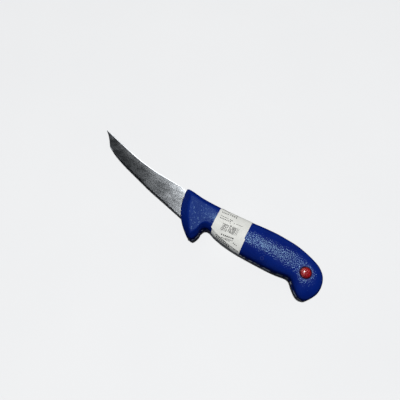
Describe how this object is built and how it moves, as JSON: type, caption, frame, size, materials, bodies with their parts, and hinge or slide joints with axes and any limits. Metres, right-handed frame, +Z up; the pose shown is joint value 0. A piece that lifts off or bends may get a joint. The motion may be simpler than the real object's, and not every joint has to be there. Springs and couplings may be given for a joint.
{
  "type": "boning knife",
  "caption": "Curved boning knife: ground steel blade with a hidden tang, moulded handle with guard and hooked butt, round side button, paper band on the grip.",
  "frame": {"origin": "bottom centre of the knife's box, on the surface that it lies on", "axes": "+X along the knife from the tip to the butt, +Y towards the blade's back, +Z up, out of the side with the button"},
  "size_m": [0.28, 0.0612, 0.0231],
  "materials": {
    "steel": "satin, ground lengthwise",
    "handle_plastic": "moulded, fine pebble grain",
    "button_plastic": "glossy",
    "label_paper": "matt coated paper"
  },
  "bodies": {
    "root": {"blade": "steel", "handle": "handle_plastic", "button": "button_plastic", "paper_label": "label_paper"}
  },
  "joints": []
}
